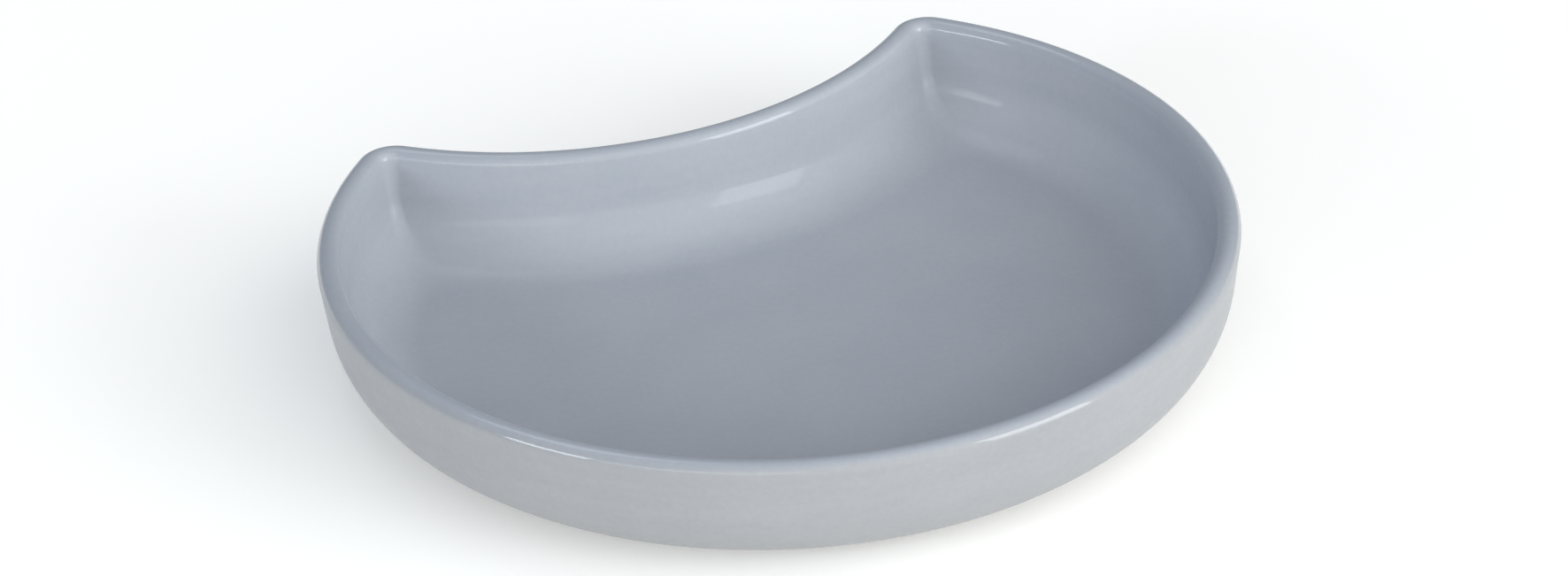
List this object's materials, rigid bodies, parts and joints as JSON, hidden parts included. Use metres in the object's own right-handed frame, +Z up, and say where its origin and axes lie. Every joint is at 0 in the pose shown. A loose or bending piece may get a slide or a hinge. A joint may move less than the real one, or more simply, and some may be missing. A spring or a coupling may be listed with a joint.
{
  "type": "kidney dish",
  "caption": "Crescent-shaped ceramic kidney dish: a shallow round tray with a concave bite in its back, two horns, a rounded rim and a low bare foot ring.",
  "frame": {"origin": "below the middle of the bounding box, on the surface that the foot ring stands on", "axes": "+Z up, +X along the line through the two horns, +Y towards the concave side and the horns"},
  "size_m": [0.204, 0.176, 0.0316],
  "materials": {
    "clay": "bare fired stoneware, matt",
    "glaze": "gloss glaze, pale blue-grey"
  },
  "bodies": {
    "root": {"stoneware_body": "clay", "glaze_coat": "glaze", "underside_glaze": "glaze"}
  },
  "joints": []
}
